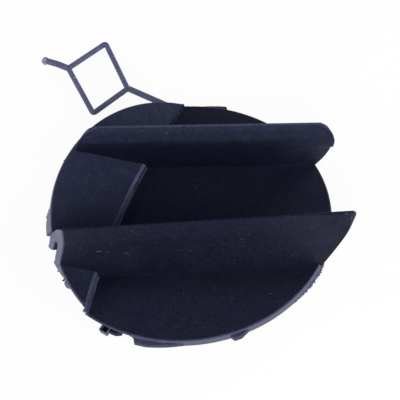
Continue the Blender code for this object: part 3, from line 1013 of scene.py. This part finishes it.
def foot_web_section(form):
    """Section of the web at the lower rail's left foot. It grows lower along its length."""
    first, last = FOOT_WEB

    def section(part):
        out = -0.3 * part * MM
        back = form.rim_height(math.radians(first + (last - first) * part)) - 0.5 * MM
        low = (8.6 - 0.4 * part) * MM
        return [(out - 1.5 * MM, low), (out, low), (out, back), (out - 1.5 * MM, back - 1.2 * MM)]

    return section


def flash_section(reach, seed):
    """Section of the ragged flash, with teeth of random reach and height."""
    rough = random.Random(seed)

    def section(part):
        out = reach * fade(part, 0.65, 0.2) * (0.55 + 0.75 * rough.random())
        low = (0.35 + 0.3 * rough.random()) * MM
        return [(-SINK, low), (out, low), (out * 0.92, low + 0.45 * MM), (-SINK, low + 0.8 * MM)]

    return section


def pocketed_tab(form, sizes):
    """Tab on the rim with a pocket in its top."""
    heading, width, top, wall = sizes.tab_heading, sizes.tab_width, sizes.tab_top, sizes.tab_wall
    radius = form.s.radius
    end = radius + sizes.tab_past
    tab = box_on_rim("tab", heading, radius - 4.5 * MM, end, width, 0.0, top)
    pocket = box_on_rim("pocket", heading, radius - 0.5 * MM, end - wall, width - 2 * wall, top - 1.5 * MM,
                        top + MM)
    join_shape(tab, pocket, "DIFFERENCE")
    return tab


class COVER_OT_rim_marks(bpy.types.Operator):
    """Ledges, tab, nubs and ragged flash that moulding left on the rim"""
    bl_idname = "cover.rim_marks"
    bl_label = "Rim Marks"

    def execute(self, context):
        form = current_form()
        sizes = context.scene.cover_marks
        looks = finishes()
        for name, first, last, reach, top, rising, falling, look in RIM_LEDGES:
            section = ledge_section(reach, top, rising, falling)
            piece = rim_ridge(form, name, math.radians(first), math.radians(last), 28, section)
            finish_mark(piece, looks[look])
        first, last = FOOT_WEB
        section = foot_web_section(form)
        piece = rim_ridge(form, "rail_foot", math.radians(first), math.radians(last), 16, section)
        finish_mark(piece, looks["side_face"])
        for name, heading, height, out, radii, roughness, look in RIM_LUMPS:
            turn = math.radians(heading)
            nub(name, form.rim(turn, height * MM, out * MM), radii, roughness, looks[look], 4, turn)
        section = flash_section(sizes.flash, context.scene.cover_stage.seed)
        piece = rim_ridge(form, "side_flash", sizes.flash_from, sizes.flash_to, 64, section)
        give(piece, looks["side_face"])
        mount(piece)
        tab = pocketed_tab(form, sizes)
        give(tab, looks["moulded_plastic"], looks["rubbed_edge"], looks["side_face"])
        round_edges(tab, MARK_ROUND, 2, 40.0)
        # Painted light on the tab's sides.
        paint(tab, SIDE, lambda f: abs(f.normal.z) < 0.4)
        mount(tab)
        return {"FINISHED"}


def floor_material():
    """Pale floor that the camera and the gloss see near white, and that still takes the shadow."""
    g = Graph("pale_floor")
    nodes = g.tree.nodes
    nodes.remove(g.shader)
    paths = g.add("ShaderNodeLightPath")
    seen = g.maths("MAXIMUM", paths.outputs["Is Camera Ray"], paths.outputs["Is Glossy Ray"])
    seen = g.maths("MAXIMUM", seen, paths.outputs["Is Transmission Ray"])
    level = g.times(seen, FLOOR_GLOW)
    matt = g.add("ShaderNodeBsdfDiffuse", {"Color": FLOOR_TINT})
    glow = g.add("ShaderNodeEmission", {"Color": WHITE, "Strength": 1.0})
    both = g.add("ShaderNodeMixShader", {0: level, 1: matt.outputs[0], 2: glow.outputs[0]})
    g.tree.links.new(both.outputs[0], nodes["Material Output"].inputs["Surface"])
    return g.material


def lamps(stage):
    """Large soft lamps that point at the middle."""
    made = []
    for name, place in LAMPS:
        bpy.ops.object.light_add(type="AREA", location=place)
        lamp = bpy.context.object
        lamp.name = name
        lamp.data.energy = getattr(stage, name)
        lamp.data.size = LAMP_WIDTH
        lamp.rotation_euler = (-Vector(place)).to_track_quat("-Z", "Y").to_euler()
        made.append(lamp)
    return made


def sky(scene, level):
    """Soft light from all round, which the camera sees as plain white."""
    scene.world = bpy.data.worlds.new("sky")
    scene.world.use_nodes = True
    tree = scene.world.node_tree
    light = tree.nodes["Background"]
    light.inputs["Color"].default_value = SKY_TINT
    light.inputs["Strength"].default_value = level
    white = tree.nodes.new("ShaderNodeBackground")
    white.inputs["Color"].default_value = WHITE
    paths = tree.nodes.new("ShaderNodeLightPath")
    choose = tree.nodes.new("ShaderNodeMixShader")
    tree.links.new(paths.outputs["Is Camera Ray"], choose.inputs[0])
    tree.links.new(light.outputs[0], choose.inputs[1])
    tree.links.new(white.outputs[0], choose.inputs[2])
    tree.links.new(choose.outputs[0], tree.nodes["World Output"].inputs["Surface"])


def camera(stage):
    """Camera that was fitted to the photo."""
    bpy.ops.object.camera_add(location=stage.place, rotation=stage.turn)
    made = bpy.context.object
    made.data.lens = stage.lens
    made.data.sensor_width = 36.0
    made.data.clip_start = 0.01
    return made


class COVER_OT_stage(bpy.types.Operator):
    """Pale floor, soft light and the camera"""
    bl_idname = "cover.stage"
    bl_label = "Stage"

    def execute(self, context):
        stage = context.scene.cover_stage
        nothing_selected()
        bpy.ops.mesh.primitive_plane_add(size=stage.floor, location=(0, 0, -0.00002))
        floor = context.object
        floor.name = "floor"
        floor.data.materials.append(floor_material())
        made = [floor] + lamps(stage)
        sky(context.scene, stage.sky)
        context.scene.camera = camera(stage)
        context.scene.view_settings.view_transform = "Standard"
        return {"FINISHED"}


class COVER_PT_panel(bpy.types.Panel):
    """Sizes, finishes and steps of the cover"""
    bl_label = "Tow Cover"
    bl_idname = "COVER_PT_panel"
    bl_space_type = "VIEW_3D"
    bl_region_type = "UI"
    bl_category = "Tow Cover"

    def draw(self, context):
        for step in STEPS:
            self.layout.operator(step.bl_idname)
        for group in GROUPS:
            settings = getattr(context.scene, group)
            box = self.layout.box()
            for key in settings.__annotations__:
                box.prop(settings, key)


STEPS = (COVER_OT_skin, COVER_OT_rails, COVER_OT_tether, COVER_OT_rim_marks, COVER_OT_stage)
GROUPS = {"cover_skin": SkinSizes, "cover_rails": RailSizes, "cover_marks": MarkSizes,
          "cover_finish": CoverFinish, "cover_stage": StageSettings}


def register():
    for name, group in GROUPS.items():
        bpy.utils.register_class(group)
        setattr(bpy.types.Scene, name, PointerProperty(type=group))
    for step in STEPS:
        bpy.utils.register_class(step)
    bpy.utils.register_class(COVER_PT_panel)


def unregister():
    bpy.utils.unregister_class(COVER_PT_panel)
    for step in reversed(STEPS):
        bpy.utils.unregister_class(step)
    for name, group in reversed(GROUPS.items()):
        delattr(bpy.types.Scene, name)
        bpy.utils.unregister_class(group)


def main():
    register()
    bpy.ops.cover.skin()
    bpy.ops.cover.rails()
    bpy.ops.cover.tether()
    bpy.ops.cover.rim_marks()
    bpy.ops.cover.stage()
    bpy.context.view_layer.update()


if __name__ == "__main__":
    main()
